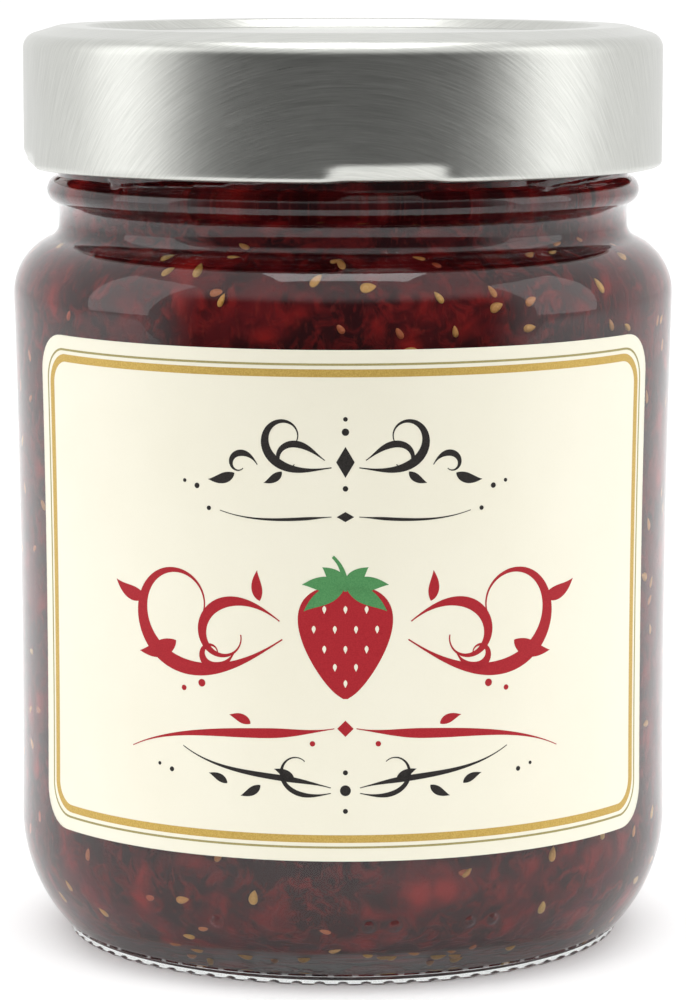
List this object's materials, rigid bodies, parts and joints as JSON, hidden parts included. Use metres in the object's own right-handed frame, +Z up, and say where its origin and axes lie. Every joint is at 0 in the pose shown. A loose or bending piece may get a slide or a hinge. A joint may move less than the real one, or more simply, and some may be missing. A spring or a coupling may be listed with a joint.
{
  "type": "jam jar",
  "caption": "Round glass jar with sloped shoulders, filled with red fruit jam, closed by a deep twist-off metal lid, with a paper front label.",
  "frame": {"origin": "centre of the ring that the jar stands on", "axes": "+Z up along the jar's axis, -Y towards the front label"},
  "size_m": [0.0766, 0.0767, 0.1058],
  "materials": {
    "glass": "clear moulded glass",
    "jam": "wet, translucent dark red with seeds",
    "lid": "bright tinplate with fine rubbed scratches",
    "label": "satin cream paper with coloured print"
  },
  "bodies": {
    "root": {"jar": "glass", "jam": "jam", "lid": "lid", "label": "label"}
  },
  "joints": []
}
